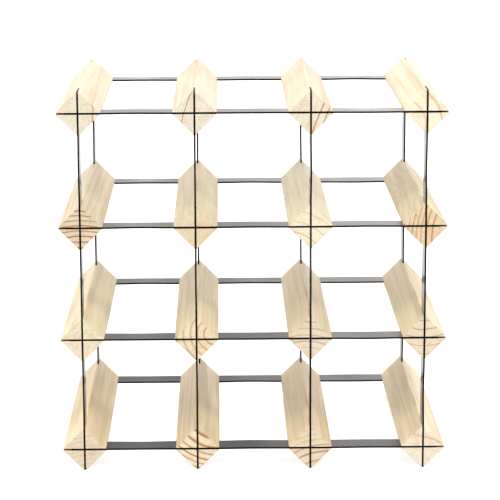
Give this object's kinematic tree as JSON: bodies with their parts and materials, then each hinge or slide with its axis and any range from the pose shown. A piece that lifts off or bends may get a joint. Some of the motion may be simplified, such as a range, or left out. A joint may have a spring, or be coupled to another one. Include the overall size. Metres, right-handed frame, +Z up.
{
  "type": "wine rack",
  "caption": "Open grid of square timber bars set on edge, held by crossed flat steel strips pressed into saw cuts in their ends; bottles lie on their sides in the bays and on top.",
  "frame": {"origin": "middle of the rack's underside, on the surface that it stands on", "axes": "+X to the right as seen from the front, +Y from the front to the back, +Z up; bottles go in along +Y"},
  "size_m": [0.3252, 0.228, 0.3252],
  "materials": {
    "timber": "sawn and sanded, unfinished",
    "strip_steel": "satin black"
  },
  "bodies": {
    "root": {"bar_row1_col1": "timber", "bar_row1_col2": "timber", "bar_row1_col3": "timber", "bar_row1_col4": "timber", "bar_row2_col1": "timber", "bar_row2_col2": "timber", "bar_row2_col3": "timber", "bar_row2_col4": "timber", "bar_row3_col1": "timber", "bar_row3_col2": "timber", "bar_row3_col3": "timber", "bar_row3_col4": "timber", "bar_row4_col1": "timber", "bar_row4_col2": "timber", "bar_row4_col3": "timber", "bar_row4_col4": "timber", "front_rail_row1": "strip_steel", "front_rail_row2": "strip_steel", "front_rail_row3": "strip_steel", "front_rail_row4": "strip_steel", "front_upright_col1": "strip_steel", "front_upright_col2": "strip_steel", "front_upright_col3": "strip_steel", "front_upright_col4": "strip_steel", "back_rail_row1": "strip_steel", "back_rail_row2": "strip_steel", "back_rail_row3": "strip_steel", "back_rail_row4": "strip_steel", "back_upright_col1": "strip_steel", "back_upright_col2": "strip_steel", "back_upright_col3": "strip_steel", "back_upright_col4": "strip_steel"}
  },
  "joints": []
}
